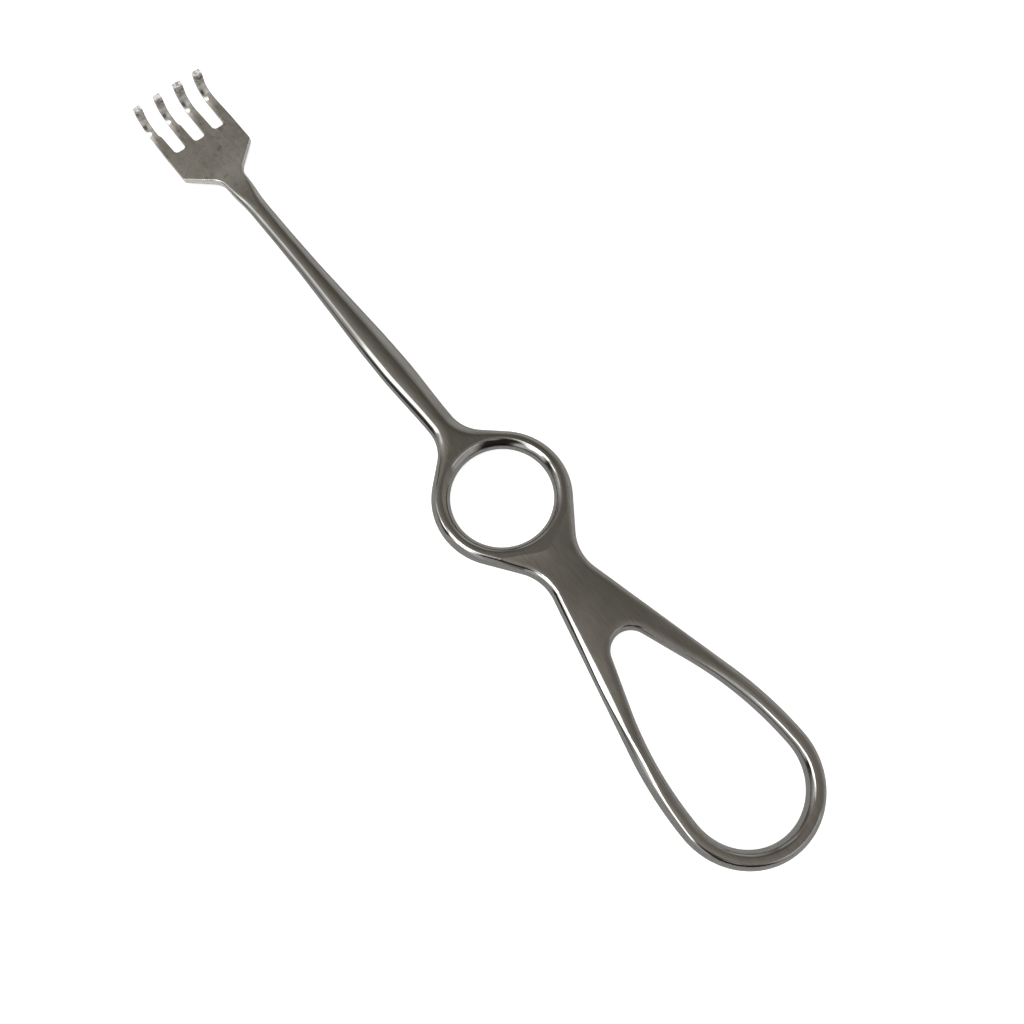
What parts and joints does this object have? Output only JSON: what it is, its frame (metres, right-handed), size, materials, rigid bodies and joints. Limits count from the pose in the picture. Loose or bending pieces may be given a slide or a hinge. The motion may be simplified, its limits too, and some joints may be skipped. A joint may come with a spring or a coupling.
{
  "type": "rake retractor",
  "caption": "One-piece stainless steel hand-held rake retractor: blunt hooked prongs on a flat plate, tapering shank, round finger ring and teardrop handle loop.",
  "frame": {"origin": "centre of the finger ring's hole, on the mid-plane of the handle", "axes": "+X along the tool from the handle loop to the prongs, +Z the side that the hooks rise to, also the ring's axis, +Y across"},
  "size_m": [0.215, 0.031, 0.0098],
  "materials": {
    "polished_steel": "polished forging with a fine residual grain",
    "satin_steel": "satin, lightly stained"
  },
  "bodies": {
    "root": {"rake_plate": "satin_steel", "prong_1": "satin_steel", "prong_2": "satin_steel", "prong_3": "satin_steel", "prong_4": "satin_steel", "shank": "polished_steel", "finger_ring": "polished_steel", "handle_web": "polished_steel", "handle_side_left": "polished_steel", "handle_side_right": "polished_steel", "handle_bow": "polished_steel"}
  },
  "joints": []
}
